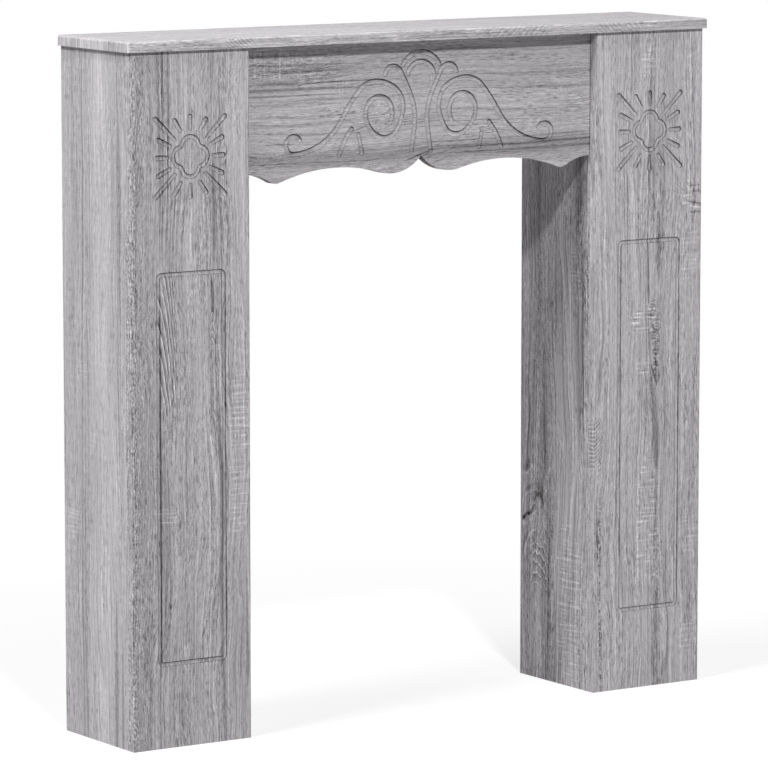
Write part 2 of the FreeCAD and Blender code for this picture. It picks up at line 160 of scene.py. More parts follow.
def objectPlace(tree, turn=origin):
    # object coordinates in millimetres, turned to the grain
    place = wire(tree, "ShaderNodeTexCoord").outputs["Object"]
    mapping = {"Vector": place, "Rotation": turn, "Scale": (millimetres, millimetres, millimetres)}
    return wire(tree, "ShaderNodeMapping", mapping).outputs[0]


def surfaceNormal(tree):
    return wire(tree, "ShaderNodeNewGeometry").outputs["Normal"]


def addBump(tree, shader, height, strength, depth):
    bump = wire(tree, "ShaderNodeBump", {"Height": height, "Strength": strength, "Distance": depth})
    tree.links.new(bump.outputs[0], shader.inputs["Normal"])


# shared wood effects, all in millimetres: X across the grain, Y along it, Z through the board
# a noise is given by its size across and along the grain, a mask also by its soft limits

grainSway = {"broad": (70, 280), "small": (15, 75), "smallShare": 0.3, "amount": 24.0, "ofMarks": 7.0}


def makeGrainBend():
    keys = {"Vector": origin, "Seed": origin, "Sway": grainSway["amount"]}
    tree, given, out = newGroup("grainBend", keys, ["Vector"])
    seeded = vectorCalc(tree, "ADD", given["Vector"], given["Seed"])
    small = times(tree, grainNoise(tree, seeded, *grainSway["small"]), grainSway["smallShare"])
    sway = total(tree, small, grainNoise(tree, seeded, *grainSway["broad"]))
    shift = join(tree, times(tree, sway, given["Sway"]))
    tree.links.new(vectorCalc(tree, "ADD", given["Vector"], shift), out["Vector"])
    return tree


ringForm = {"fade": 2.0, "rim": (0.7, 0.95), "rimTone": 0.8}


def ringTone(tree, phase):
    # sharp dark edge that fades, then a pale rim
    ring = calc(tree, "FRACT", phase)
    dark = calc(tree, "POWER", minus(tree, 1.0, ring), ringForm["fade"])
    return minus(tree, times(tree, ease(tree, ring, *ringForm["rim"]), ringForm["rimTone"]), dark)


# threads: size, detail, strength; spots: size, soft limits, strength; silk and pits show only close up
oakGrain = {
    "threads": {"dashes": (1.3, 11, 0.0, 0.27), "fibres": (1.15, 55, 1.0, 0.26),
                "silk": (0.42, 14, 2.0, 0.36)},
    "spots": {"pores": (1.2, 13, 0.1, 0.22, -0.15), "specks": (1.4, 4.0, 0.18, 0.28, 0.07),
              "pits": (0.4, 5.0, 0.12, 0.24, -0.16)},
    "relief": {"fibres": 1.0, "silk": 0.6, "pores": -0.5, "pits": -0.6},
    "bands": (38, 1300), "bandTone": 0.088,
    "lines": (2.0, 190, 1.0), "lineTone": 0.22,
    "hairs": (1.8, 300),
    "paleHair": (-0.12, -0.28), "paleTone": 0.06,
    "darkHair": (0.1, 0.24), "darkTone": 0.1,
    "grit": (2.2, 4.4), "gritTone": 0.34,
    "ringSpacing": 14.0, "ringWarp": (24, 360, 1.0), "warpAmount": 3.4, "ringLift": 0.18, "ringTone": 0.065,
    "ringZones": (40, 420), "ringClear": (-0.12, 0.2, 0.25, 1.0),
    "fineZones": (20, 130), "fineClear": (-0.15, 0.2, 0.64, 1.1), "coarseGain": 0.25, "leastFine": 0.2}


def makeGrainLines():
    keys = {"Vector": origin, "Seed": origin, "Coarse": 0.0, "Contrast": 1.0}
    tree, given, out = newGroup("grainLines", keys, ["Tone", "Lines", "Height"])
    seeded = vectorCalc(tree, "ADD", given["Vector"], given["Seed"])
    layers = {}
    fine = []
    for name, (*form, strength) in oakGrain["threads"].items():
        layers[name] = grainNoise(tree, seeded, *form)
        fine.append(times(tree, layers[name], strength))
    for name, (*form, strength) in oakGrain["spots"].items():
        layers[name] = noiseMask(tree, seeded, *form)
        fine.append(times(tree, layers[name], strength))
    warp = times(tree, grainNoise(tree, seeded, *oakGrain["ringWarp"]), oakGrain["warpAmount"])
    phase = total(tree, times(tree, split(tree, seeded)[0], 1 / oakGrain["ringSpacing"]), warp)
    rings = total(tree, ringTone(tree, phase), oakGrain["ringLift"])
    clear = ease(tree, grainNoise(tree, seeded, *oakGrain["ringZones"]), *oakGrain["ringClear"])
    hair = grainNoise(tree, seeded, *oakGrain["hairs"])
    paleHairs = times(tree, ease(tree, hair, *oakGrain["paleHair"]), oakGrain["paleTone"])
    darkHairs = times(tree, ease(tree, hair, *oakGrain["darkHair"]), oakGrain["darkTone"])
    coarse = calc(tree, "MAXIMUM", given["Coarse"], 0.0)
    zone = ease(tree, grainNoise(tree, seeded, *oakGrain["fineZones"]), *oakGrain["fineClear"])
    zone = total(tree, times(tree, given["Coarse"], oakGrain["coarseGain"]), zone)
    lines = grainNoise(tree, seeded, *oakGrain["lines"])
    tone = total(
        tree,
        times(tree, grainNoise(tree, seeded, *oakGrain["bands"]), oakGrain["bandTone"]),
        times(tree, rings, clear, oakGrain["ringTone"]),
        times(tree, lines, oakGrain["lineTone"]),
        times(tree, grainNoise(tree, seeded, *oakGrain["grit"]), coarse, oakGrain["gritTone"]),
        minus(tree, paleHairs, darkHairs),
        times(tree, total(tree, *fine), calc(tree, "MAXIMUM", zone, oakGrain["leastFine"])))
    relief = [times(tree, layers[name], share) for name, share in oakGrain["relief"].items()]
    tree.links.new(times(tree, tone, given["Contrast"]), out["Tone"])
    tree.links.new(lines, out["Lines"])
    tree.links.new(total(tree, *relief), out["Height"])
    return tree


def skewed(tree, off, skew):
    # more on one side of the middle than on the other
    return calc(tree, "MULTIPLY_ADD", calc(tree, "SIGN", off), skew, 1.0)


streakForm = {"taper": 0.6, "bell": 3.0, "tips": (0.0, 0.35), "leastTip": 0.001}


def makeDarkStreak():
    keys = {"Vector": origin, "Across": 0.0, "Low": 0.0, "High": 1.0, "Lean": 0.0, "Width": 3.0, "Skew": 0.0,
            "Peak": 0.5}
    tree, given, out = newGroup("darkStreak", keys, ["Mask"])
    across, along = split(tree, given["Vector"])[:2]
    run = minus(tree, along, given["Low"])
    off = minus(tree, minus(tree, across, given["Across"]), times(tree, run, given["Lean"]))
    share = calc(tree, "DIVIDE", run, minus(tree, given["High"], given["Low"]))
    fall = calc(tree, "DIVIDE", minus(tree, 1.0, share), minus(tree, 1.0, given["Peak"]))
    tip = calc(tree, "MINIMUM", calc(tree, "DIVIDE", share, given["Peak"]), fall)
    inside = calc(tree, "COMPARE", share, 0.5, 0.5)      # from end to end
    taper = calc(tree, "POWER", calc(tree, "MAXIMUM", tip, streakForm["leastTip"]), streakForm["taper"])
    width = times(tree, taper, given["Width"], skewed(tree, off, given["Skew"]))
    reach = calc(tree, "POWER", absolute(tree, calc(tree, "DIVIDE", off, width)), streakForm["bell"])
    bell = calc(tree, "EXPONENT", times(tree, reach, -1.0))
    tree.links.new(times(tree, bell, inside, ease(tree, tip, *streakForm["tips"])), out["Mask"])
    return tree


patchForm = {"squareness": 4.0, "edge": (1.05, 0.75)}


def makeGrainPatch():
    keys = {"Vector": origin, "Across": 0.0, "Along": 0.0, "Wide": 10.0, "Tall": 10.0, "Ragged": 0.0}
    tree, given, out = newGroup("grainPatch", keys, ["Mask"])
    across, along = split(tree, given["Vector"])[:2]
    x = absolute(tree, ratio(tree, across, given["Across"], given["Wide"]))
    y = absolute(tree, ratio(tree, along, given["Along"], given["Tall"]))
    powers = [calc(tree, "POWER", value, patchForm["squareness"]) for value in (x, y)]
    reach = calc(tree, "POWER", total(tree, *powers), 1 / patchForm["squareness"])
    tree.links.new(ease(tree, total(tree, reach, given["Ragged"]), *patchForm["edge"]), out["Mask"])
    return tree


sawForm = {"pitch": 7.5, "drift": (130, 20), "driftAmount": 1.8,
           "cut": (0.3, 0.47), "broken": (22, 7.0, -0.12, 0.14),
           "hairs": (26, 1.9, 0.05, 0.2), "hairTone": 0.3, "ticks": (2.6, 26, 0.08, 0.2), "tickTone": 0.18,
           "valley": (0.2, 0.04), "shade": (9, 9, 0.0, 0.2), "shadeTone": -0.6}


def makeSawMarks():
    tree, given, out = newGroup("sawMarks", {"Vector": origin}, ["Mask"])
    place = given["Vector"]
    drift = times(tree, grainNoise(tree, place, *sawForm["drift"]), sawForm["driftAmount"])
    rungs = total(tree, times(tree, split(tree, place)[1], 1 / sawForm["pitch"]), drift)
    rung = calc(tree, "PINGPONG", rungs, 0.5)
    cuts = times(tree, ease(tree, rung, *sawForm["cut"]), noiseMask(tree, place, *sawForm["broken"]))
    hairs = times(tree, noiseMask(tree, place, *sawForm["hairs"]), sawForm["hairTone"])
    ticks = times(tree, noiseMask(tree, place, *sawForm["ticks"]), sawForm["tickTone"])
    shade = times(tree, ease(tree, rung, *sawForm["valley"]), noiseMask(tree, place, *sawForm["shade"]),
                  sawForm["shadeTone"])
    tree.links.new(total(tree, cuts, hairs, ticks, shade), out["Mask"])
    return tree


arcForm = {"waver": (7, 7, 1.0), "waverAmount": 5.0, "softEnds": 0.14}


def makeArcStroke():
    keys = {"Vector": origin, "Across": 0.0, "Along": 0.0, "Wide": 10.0, "Tall": 10.0,
            "Start": 0.0, "End": 180.0, "Width": 2.0}
    tree, given, out = newGroup("arcStroke", keys, ["Mask"])
    across, along = split(tree, given["Vector"])[:2]
    x = ratio(tree, across, given["Across"], given["Wide"])
    y = ratio(tree, along, given["Along"], given["Tall"])
    reach = calc(tree, "SQRT", total(tree, times(tree, x, x), times(tree, y, y)))
    waver = times(tree, grainNoise(tree, given["Vector"], *arcForm["waver"]), arcForm["waverAmount"])
    off = total(tree, waver, times(tree, minus(tree, reach, 1.0), given["Tall"]))
    share = calc(tree, "DIVIDE", off, given["Width"])
    bell = calc(tree, "EXPONENT", times(tree, share, share, -1.0))
    angle = calc(tree, "WRAP", calc(tree, "DEGREES", calc(tree, "ARCTAN2", y, x)), 360.0, 0.0)
    soft = times(tree, minus(tree, given["End"], given["Start"]), arcForm["softEnds"])
    rise = ease(tree, angle, given["Start"], total(tree, given["Start"], soft))
    fall = ease(tree, angle, given["End"], minus(tree, given["End"], soft))
    tree.links.new(times(tree, bell, rise, fall), out["Mask"])
    return tree


def makeFlame():
    keys = {"Vector": origin, "Across": 0.0, "Along": 0.0, "Bow": 0.1, "Spacing": 14.0, "Waver": 0.0,
            "Skew": 0.0}
    tree, given, out = newGroup("flame", keys, ["Tone"])
    across, along = split(tree, given["Vector"])[:2]
    off = minus(tree, across, given["Across"])
    bow = times(tree, given["Bow"], skewed(tree, off, given["Skew"]))
    arch = total(tree, times(tree, off, off, bow), minus(tree, along, given["Along"]))
    phase = total(tree, calc(tree, "DIVIDE", arch, given["Spacing"]), given["Waver"])
    tree.links.new(ringTone(tree, phase), out["Tone"])
    return tree


# painted shade in the grooves: the upper part of each groove wall is darkened, most on walls facing down and
# on walls facing left
grooveForm = {"slope": (0.985, 0.72), "mouth": (0.01, 0.1), "bottom": (2.8, 0.5), "margin": 2.0,
              "level": 0.86, "fromRight": -0.45, "fromAbove": -0.3}


def makeGrooveShade():
    keys = {"Vector": origin, "Face": 0.0, "Middle": 0.0, "Half": 100.0}
    tree, given, out = newGroup("grooveShade", keys, ["Mask"])
    across, deep = split(tree, given["Vector"])[::2]
    right, back, up = split(tree, surfaceNormal(tree))
    depth = absolute(tree, minus(tree, deep, given["Face"]))
    wall = times(tree, ease(tree, absolute(tree, back), *grooveForm["slope"]),
                 ease(tree, depth, *grooveForm["mouth"]), ease(tree, depth, *grooveForm["bottom"]))
    dusk = total(tree, times(tree, right, grooveForm["fromRight"]), times(tree, up, grooveForm["fromAbove"]),
                 grooveForm["level"])
    off = absolute(tree, minus(tree, across, given["Middle"]))
    clear = ease(tree, off, given["Half"], minus(tree, given["Half"], grooveForm["margin"]))
    tree.links.new(times(tree, wall, dusk, clear), out["Mask"])
    return tree


wearForm = {"width": (1.8, 0.3), "faces": (0.1, 0.6), "broken": (12, 22, -0.1, 0.15, 2.0)}


def makeEdgeWear():
    keys = {"Vector": origin, "Normal": origin, "Middle": 0.0, "Half": 100.0}
    tree, given, out = newGroup("edgeWear", keys, ["Mask"])
    facing = absolute(tree, split(tree, given["Normal"])[2])      # broad faces only, and their rounded edges
    off = absolute(tree, minus(tree, split(tree, given["Vector"])[0], given["Middle"]))
    edge = ease(tree, minus(tree, given["Half"], off), *wearForm["width"])
    broken = noiseMask(tree, given["Vector"], *wearForm["broken"])
    tree.links.new(times(tree, edge, ease(tree, facing, *wearForm["faces"]), broken), out["Mask"])
    return tree


grainBend = makeGrainBend()
grainLines = makeGrainLines()
grainPatch = makeGrainPatch()
darkStreak = makeDarkStreak()
sawMarks = makeSawMarks()
arcStroke = makeArcStroke()
flame = makeFlame()
grooveShade = makeGrooveShade()
edgeWear = makeEdgeWear()
print("grain groups made")


# boards: grain runs up the columns and along the frieze and mantel

upright = (-quarter, 0.0, 0.0)      # X across, Z along
uprightSide = (-quarter, -quarter, 0.0)      # Y across, Z along
level = (quarter, 0.0, quarter)      # Z across, X along
levelTop = (0.0, 0.0, -quarter)      # Y across, X along, reversed

plainStreak = (0.0, 0.5)      # no skew, widest halfway
markForm = {"ragged": (9, 16, 2.0), "raggedAmount": 1.1, "streakGrain": 2.0,
            "hatching": (5.0, 2.6), "hatchAmount": 5.0, "wavers": [(6, 14, 0.9), (22, 46, 1.8)],
            "onFront": (-0.7, -0.3), "onEdge": (-0.6, -0.8)}


def patchMask(tree, vector, ragged, zone, strength):
    keys = dict(zip(("Across", "Along", "Wide", "Tall"), zone), Vector=vector, Ragged=ragged)
    return times(tree, useGroup(tree, grainPatch, keys)["Mask"], strength)


def streakMarks(tree, place, uneven, streaks):
    marks = []
    for across, low, acrossHigh, high, width, dark, *form in streaks:
        skew, peak = form or plainStreak
        keys = {"Vector": place, "Across": across, "Low": low, "High": high, "Width": width,
                "Lean": (acrossHigh - across) / (high - low), "Skew": skew, "Peak": peak}
        marks.append(times(tree, useGroup(tree, darkStreak, keys)["Mask"], uneven, -dark / greyLevels))
    return marks


def arcMarks(tree, place, arcs):
    marks = []
    for *form, dark in arcs:
        keys = dict(zip(("Across", "Along", "Wide", "Tall", "Start", "End", "Width"), form), Vector=place)
        marks.append(times(tree, useGroup(tree, arcStroke, keys)["Mask"], -dark / greyLevels))
    return marks


def flameMarks(tree, place, waver, ragged, flames):
    marks = []
    for *zone, axis, bow, spacing, strength, loose, skew in flames:
        keys = {"Vector": place, "Across": axis, "Along": zone[1], "Bow": bow, "Spacing": spacing,
                "Skew": skew, "Waver": times(tree, waver, loose)}
        mask = patchMask(tree, place, ragged, zone, strength / greyLevels)
        marks.append(times(tree, useGroup(tree, flame, keys)["Tone"], mask))
    return marks


def boardPlace(tree, board):
    turned = objectPlace(tree, board["grain"])
    turning = {"Vector": surfaceNormal(tree), "Rotation": board["grain"]}
    facing = wire(tree, "ShaderNodeMapping", turning, vector_type="VECTOR").outputs[0]
    if "banded" in board:      # end faces carry an edge band, grain down the edge
        across, along, deep = split(tree, turned)
        atEnd = calc(tree, "GREATER_THAN", absolute(tree, split(tree, facing)[1]), board["banded"])
        keys = {0: atEnd, 4: turned, 5: join(tree, across, deep, along)}
        turned = wire(tree, "ShaderNodeMix", keys, data_type="VECTOR").outputs[1]
    return turned, facing


def woodMarks(tree, board, turned, near, facing, ragged, lines):
    uneven = calc(tree, "MULTIPLY_ADD", lines, markForm["streakGrain"], 1.0)
    marks = streakMarks(tree, near, uneven, board.get("streaks", []))
    if "hatched" in board:
        hatching = grainNoise(tree, turned, *markForm["hatching"])
        uneven = calc(tree, "MULTIPLY_ADD", hatching, markForm["hatchAmount"], 1.0)
        marks += streakMarks(tree, near, uneven, board["hatched"])
    marks += arcMarks(tree, near, board.get("arcs", []))
    if "flames" in board or "edgeFlames" in board:
        wavers = [times(tree, grainNoise(tree, turned, *form), part) for *form, part in markForm["wavers"]]
        waver = total(tree, *wavers)
        marks += flameMarks(tree, near, waver, ragged, board.get("flames", []))
    if "edgeFlames" in board:      # growth rings that run out on the front edge
        across, along, deep = split(tree, turned)
        onEdge = ease(tree, split(tree, facing)[0], *markForm["onEdge"])
        rings = flameMarks(tree, join(tree, deep, along, across), waver, ragged, board["edgeFlames"])
        marks += [times(tree, ring, onEdge) for ring in rings]
    if "saw" in board:
        ladder = useGroup(tree, sawMarks, {"Vector": turned})["Mask"]
        sawn = [patchMask(tree, turned, ragged, zone, strength / greyLevels)
                for *zone, strength in board["saw"]]
        marks.append(times(tree, ladder, total(tree, *sawn)))
    for *zone, dark in board.get("jointShade", []):      # shade in the joint to the next board
        marks.append(patchMask(tree, turned, 0.0, zone, -dark / greyLevels))
    if "face" in board:      # none of them on the board's back
        front = times(tree, split(tree, facing)[2], math.copysign(1.0, board["face"]))
        marks = [times(tree, total(tree, *marks), ease(tree, front, *markForm["onFront"]))]
    return marks


boardFinish = {"tint": (1.01, 0.972, 1.01), "gamma": 2.2, "darkest": 0.1, "wear": 0.05,
               "seedSteps": (137.0, 911.0, 53.0), "underside": (-0.25, -0.6), "rimFaces": (0.5, 0.9),
               "roughness": (0.4, 0.8, 0.8, 0.64), "specular": 0.22, "bump": 0.25, "bumpDepth": 0.0004}


def oakTone(tree, board):
    turned, facing = boardPlace(tree, board)
    seed = tuple(board["seed"] * step for step in boardFinish["seedSteps"])
    keys = {"Vector": turned, "Seed": seed, "Sway": board.get("sway", grainSway["amount"])}
    bent = useGroup(tree, grainBend, keys)["Vector"]
    near = useGroup(tree, grainBend, dict(keys, Sway=grainSway["ofMarks"]))["Vector"]
    ragged = times(tree, grainNoise(tree, turned, *markForm["ragged"]), markForm["raggedAmount"])
    coarse = [patchMask(tree, near, ragged, zone, strength) for *zone, strength in board.get("rough", [])]
    keys = {"Vector": bent, "Seed": seed, "Coarse": total(tree, *coarse) if coarse else 0.0,
            "Contrast": board["contrast"]}
    lines = useGroup(tree, grainLines, keys)
    layers = [lines["Tone"], board["tone"]]
    layers += woodMarks(tree, board, turned, near, facing, ragged, lines["Lines"])
    edges = {"Vector": turned, "Middle": board["middle"], "Half": board["half"]}
    worn = facing
    if "face" in board:
        # painted shade on the groove walls
        shade = useGroup(tree, grooveShade, dict(edges, Face=board["face"]))["Mask"]
        layers.append(times(tree, shade, -board["groove"]))
    if "under" in board:      # painted shade on the downward faces of the lower edge; worn there instead of the face
        below = split(tree, facing)[0]
        layers.append(times(tree, ease(tree, below, *boardFinish["underside"]), -board["under"]))
        worn = join(tree, z=below)
    if "rim" in board:      # edge band of another batch
        rim = ease(tree, absolute(tree, split(tree, facing)[0]), *boardFinish["rimFaces"])
        layers.append(times(tree, rim, -board["rim"]))
    wear = useGroup(tree, edgeWear, dict(edges, Normal=worn))["Mask"]
    layers.append(times(tree, wear, boardFinish["wear"]))
    return calc(tree, "MAXIMUM", total(tree, *layers), boardFinish["darkest"]), lines["Height"]


def oakDecor(name, board):
    material, tree, shader = newMaterial(name)
    tone, height = oakTone(tree, board)
    linear = calc(tree, "POWER", tone, boardFinish["gamma"])
    tinted = vectorCalc(tree, "MULTIPLY", linear, board.get("tint", boardFinish["tint"]))
    tree.links.new(tinted, shader.inputs["Base Color"])
    tree.links.new(ease(tree, tone, *boardFinish["roughness"]), shader.inputs["Roughness"])
    shader.inputs["Specular IOR Level"].default_value = boardFinish["specular"]
    addBump(tree, shader, height, boardFinish["bump"], boardFinish["bumpDepth"])
    return material


def dress(node, material):
    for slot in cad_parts[node].material_slots:
        slot.material = material


frontLow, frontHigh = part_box("right_leg_front")
columnMiddle = (frontLow.x + frontHigh.x) / 2
columnHalf = millimetres * (frontHigh.x - frontLow.x) / 2
columnFace = -millimetres * frontLow.y
halfDepth = millimetres * (cadBox[1].y - cadBox[0].y) / 2

# marks are placed one by one after the photograph, across and along the grain; those below zero are pale
# streaks, hatched: both ends, half width, darkness, then skew and widest point where they differ
# arcs: middle, half sizes, start and end in degrees, half width, darkness
# rough, saw, jointShade: middle, half sizes, strength
# flames, edgeFlames: middle, half sizes, axis, bow, ring spacing, strength, looseness, skew

leftFront = {
    "grain": upright, "seed": 1.0, "tone": 0.66, "contrast": 0.92, "groove": 0.33,
    "face": columnFace, "middle": -millimetres * columnMiddle, "half": columnHalf,
    "streaks": [
        (-446, 640, -450, 1100, 2.2, 34), (-443, 640, -441, 1100, 1.8, 42),
        (-436, 660, -432, 1100, 2.4, 36, 0.5, 0.6), (-441, 60, -441, 520, 6.0, 18),
        (-448, -80, -449, 640, 2.4, 30), (-434, 40, -436, 460, 1.8, 26), (-361, 606, -364, 672, 2.8, 56),
        (-358, 670, -361, 850, 4.5, 26), (-347, 60, -353, 540, 4.5, 32), (-340, -80, -346, 150, 3.0, 28),
        (-320, -900, -320, 1900, 17.0, -2), (-347, 480, -349, 1000, 1.6, 26),
        (-478, -900, -478, 1900, 18.0, 12)],
    "rough": [(-484, 500, 13, 700, 0.5), (-491, 500, 4.5, 700, 0.8), (-320, 500, 20, 700, -0.8)],
    "flames": [
        (-436, 575, 15, 108, -459, 0.15, 38, 62, 0.2, 0.0), (-362, 590, 12, 36, -362, 0.5, 12, 34, 0.6, 0.0)],
    "saw": [
        (-318, 452, 18, 42, 29), (-320, 350, 16, 66, 24), (-318, 512, 16, 18, 25), (-440, 330, 18, 14, 24)]}

rightFront = {
    "grain": upright, "seed": 2.0, "tone": 0.705, "contrast": 0.86, "groove": 0.33, "rim": 0.05,
    "face": columnFace, "middle": millimetres * columnMiddle, "half": columnHalf,
    "streaks": [
        (397, 640, 400, 1000, 2.0, 30), (407, 640, 407, 860, 2.0, 34), (402, 660, 404, 1000, 6.0, 12),
        (418, 596, 415, 720, 4.5, 38, 0.0, 0.8), (400, 573, 396, 700, 2.2, 58, 0.0, 0.2),
        (415, 452, 403, 490, 2.4, 60, 0.2, 0.4), (403, 484, 397, 580, 1.8, 36), (418, 456, 418, 482, 2.6, 52),
        (435, 640, 435, 680, 1.4, 34), (413, 316, 401, 500, 7.0, 44, 0.5, 0.35),
        (414, -120, 416, 190, 6.0, 30), (416, 160, 416, 345, 3.0, 18), (308, 180, 306, 310, 3.5, 28),
        (308, 425, 307, 515, 3.0, 28), (412, 130, 412, 350, 2.5, 18), (380, 120, 381, 400, 2.0, -14),
        (360, 100, 362, 500, 3.0, 10)],
    "hatched": [(414, 455, 409, 590, 10.5, 34, 0.0, 0.8), (414, 454, 408, 500, 6.0, 10, 0.0, 0.7),
                (312, -160, 313, 345, 2.6, 26)],
    "arcs": [
        (470, 600, 90, 127, 72, 92, 1.6, 52), (470, 599, 90, 127, 88, 98, 1.4, -44),
        (472, 593, 90, 127, 76, 91, 1.4, -44), (480, 616, 90, 127, 78, 93, 2.2, 46),
        (466, 609, 90, 127, 84, 98, 1.4, -36), (476, 585, 90, 127, 78, 92, 1.6, 44),
        (478, 625, 90, 127, 80, 96, 1.4, 30)],
    "rough": [
        (465, 560, 26, 190, 0.15), (470, 250, 22, 200, 0.1), (316, 250, 9, 160, 0.3),
        (310, 210, 3.5, 210, 0.8), (326, 640, 18, 420, -0.6), (418, 190, 10, 60, 0.9),
        (465, 745, 22, 22, 0.8)],
    "flames": [(306, 375, 9, 42, 295, -0.05, 6.5, 44, 0.5, 0.0)],
    "saw": [
        (400, 945, 17, 24, 28), (375, 702, 16, 20, 18), (392, 560, 24, 22, 52), (388, 484, 12, 12, 40),
        (399, 252, 22, 88, 30), (473, 645, 18, 46, 21), (474, 230, 17, 34, 22), (474, 68, 17, 28, 20)]}

outerCheek = {
    "grain": uprightSide, "seed": 3.0, "tone": 0.672, "contrast": 0.7, "middle": 0.0, "half": halfDepth,
    "streaks": [
        (-64, 560, -61, 920, 3.0, 28), (-62, -140, -63, 190, 3.5, 30), (-43, -140, -46, 250, 5.0, 32),
        (43, 380, 41, 1150, 2.6, 26), (36, -280, 38, 540, 3.0, 26), (46, -280, 46, 640, 2.2, 30),
        (28, 300, 30, 1100, 2.0, 14), (-58, 380, -57, 1100, 2.4, 22), (-80, 200, -78, 1000, 2.0, 14),
        (-10, -900, -10, 1900, 28.0, -12)],
    "rough": [(-88, 500, 8, 700, 0.6), (-12, 500, 26, 800, -0.5)],
    "saw": [(72, 318, 22, 34, 18), (20, 435, 16, 16, 12), (42, 530, 14, 16, 14), (-8, 905, 40, 8, 10)]}

innerCheek = {
    "grain": uprightSide, "seed": 4.0, "tone": 0.628, "contrast": 1.2, "middle": 0.0, "half": halfDepth,
    "streaks": [
        (-60, 320, -61, 520, 2.0, 26), (50, 460, 58, 1240, 9.0, 24), (33, 280, 39, 540, 7.0, 30),
        (25, -160, 24, 300, 3.0, 26), (7, -160, 6, 150, 4.0, 22), (84, 300, 74, 430, 2.6, 40),
        (-62, 330, -62, 700, 1.6, 34), (-72, -900, -72, 1900, 9.0, -5), (55, -900, 55, 1900, 34.0, -4),
        (46, 256, 40, 430, 14.0, 26), (16, -260, 27, 330, 22.0, 15), (-38, -400, -38, 460, 38.0, -2),
        (-52, 330, -52, 1500, 17.0, 26, 0.0, 0.25), (85, -900, 85, 1900, 9.0, -16)],
    "rough": [(-86, 500, 8, 700, 0.6), (45, 250, 40, 120, 0.4), (-28, 330, 38, 360, -1.6)],
    "flames": [(48, 176, 27, 38, 60, 0.075, -15, 42, 0.75, 0.67)],
    "arcs": [
        (51, 262, 12, 20, 0, 205, 4.0, 58), (78, 264, 15, 14, 170, 275, 2.8, 70),
        (74, 222, 20, 27, 38, 97, 2.6, 84), (74, 222, 20, 27, 34, 60, 3.4, 60),
        (57, 180, 27, 46, 0, 95, 2.0, -50), (57, 180, 33, 50, 0, 56, 3.0, 28),
        (51, 264, 17, 26, 0, 180, 9.0, 34), (89, 266, 32, 33, 190, 280, 5.0, -18),
        (86, 330, 18, 20, 180, 275, 1.6, -36), (87, 332, 10, 13, 170, 300, 6.0, 34),
        (57, 240, 40, 48, 40, 100, 1.4, -26), (57, 244, 42, 52, 42, 96, 2.0, 24)],
    "saw": [(-32, 118, 34, 132, 26), (-42, 622, 16, 44, 20)]}

friezeFace = {
    "grain": level, "seed": 5.0, "tone": 0.682, "contrast": 0.76, "groove": 0.17, "under": 0.16,
    "face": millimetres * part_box("frieze_board")[0].y, "middle": 880.0, "half": 105.0,
    "streaks": [
        (932, -480, 930, -20, 2.2, 38), (923, -480, 922, -90, 3.0, 42), (914, -480, 913, -110, 1.6, 46),
        (906, -420, 906, 80, 1.4, 18), (912, 20, 906, 480, 1.6, 26), (826, 0, 832, 480, 1.6, 40),
        (819, 10, 823, 480, 1.6, 38), (818, -480, 816, 0, 1.4, 18), (930, 40, 932, 480, 1.8, 20),
        (810, -34, 829, 30, 1.5, 54), (805, -24, 834, 90, 1.2, 24), (812, -6, 826, 22, 0.9, 48),
        (800, 0, 818, 60, 1.0, 30), (858, -128, 869, -82, 1.2, 40), (960, -330, 955, -90, 2.2, 24),
        # the streak at 962 darkens the band right under the mantel: partly painted shade, partly darker grain
        (948, -330, 946, 40, 1.4, 22), (962, -900, 962, 1900, 18.0, 8), (824, -900, 826, 1900, 15.0, 25),
        (950, -440, 946, -90, 14.0, 16), (836, -30, 842, 480, 1.4, 24), (846, -270, 846, -210, 1.4, 40)],
    "rough": [(952, -230, 24, 110, 0.6), (880, -65, 24, 26, 0.5)],
    # painted shade in the joints to the legs
    "jointShade": [(880, -300, 140, 1.6, 70), (880, 300, 140, 1.6, 70)],
    "saw": [(958, -262, 22, 46, 26), (922, -140, 14, 12, 14), (928, 20, 16, 10, 14)]}

mantelFace = {
    "grain": levelTop, "seed": 6.0, "tone": 0.692, "contrast": 0.78, "sway": 9.0, "banded": 0.75,
    "middle": 0.0, "half": halfDepth,
    "streaks": [
        # the first streak makes the front edge paler and paints a highlight along its top arris
        (-97.5, -900, -97.5, 1900, 2.5, -8), (49, 900, 49, 1085, 14.0, 14), (40, 900, 40, 1085, 2.2, 26),
        (58, 900, 58, 1085, 2.0, 24), (-52, 900, -52, 1085, 12.0, 12), (-46, 900, -46, 1085, 1.8, 32),
        (-59, 900, -59, 1085, 1.8, 26), (4, 900, 4, 1085, 2.0, 12), (0, 800, 0, 1185, 110.0, -8)],
    "edgeFlames": [
        (992, 318, 14, 26, 1012, 0.03, 7, 36, 0.3, 0.0), (992, -155, 14, 60, 972, 0.03, 10, 24, 0.7, 0.0),
        (992, -335, 14, 44, 1012, 0.03, 9, 24, 0.7, 0.0)],
    "rough": [(0, 0, 96, 700, -0.6), (0, 990, 100, 60, -1.8)]}

brace = {"grain": level, "tone": 0.62, "contrast": 1.0, "half": 35.0}
firstBraceSeed = 7.0

boards = {"left_leg_front": leftFront, "right_leg_front": rightFront, "frieze_board": friezeFace,
          "mantel_top": mantelFace}
for side in ("left_leg_", "right_leg_"):
    boards[side + "outer_side"] = outerCheek
    boards[side + "inner_side"] = innerCheek
    for node in (side + "lower_brace", side + "upper_brace"):
        low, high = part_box(node)
        middle = millimetres * (low.z + high.z) / 2
        boards[node] = dict(brace, seed=firstBraceSeed + low.x + low.z, middle=middle)
for node, board in boards.items():
    dress(node, oakDecor("oak_" + node, board))
print("boards dressed")


# fasteners: beech pins, plated steel, cast zinc cam locks and galvanised wall brackets

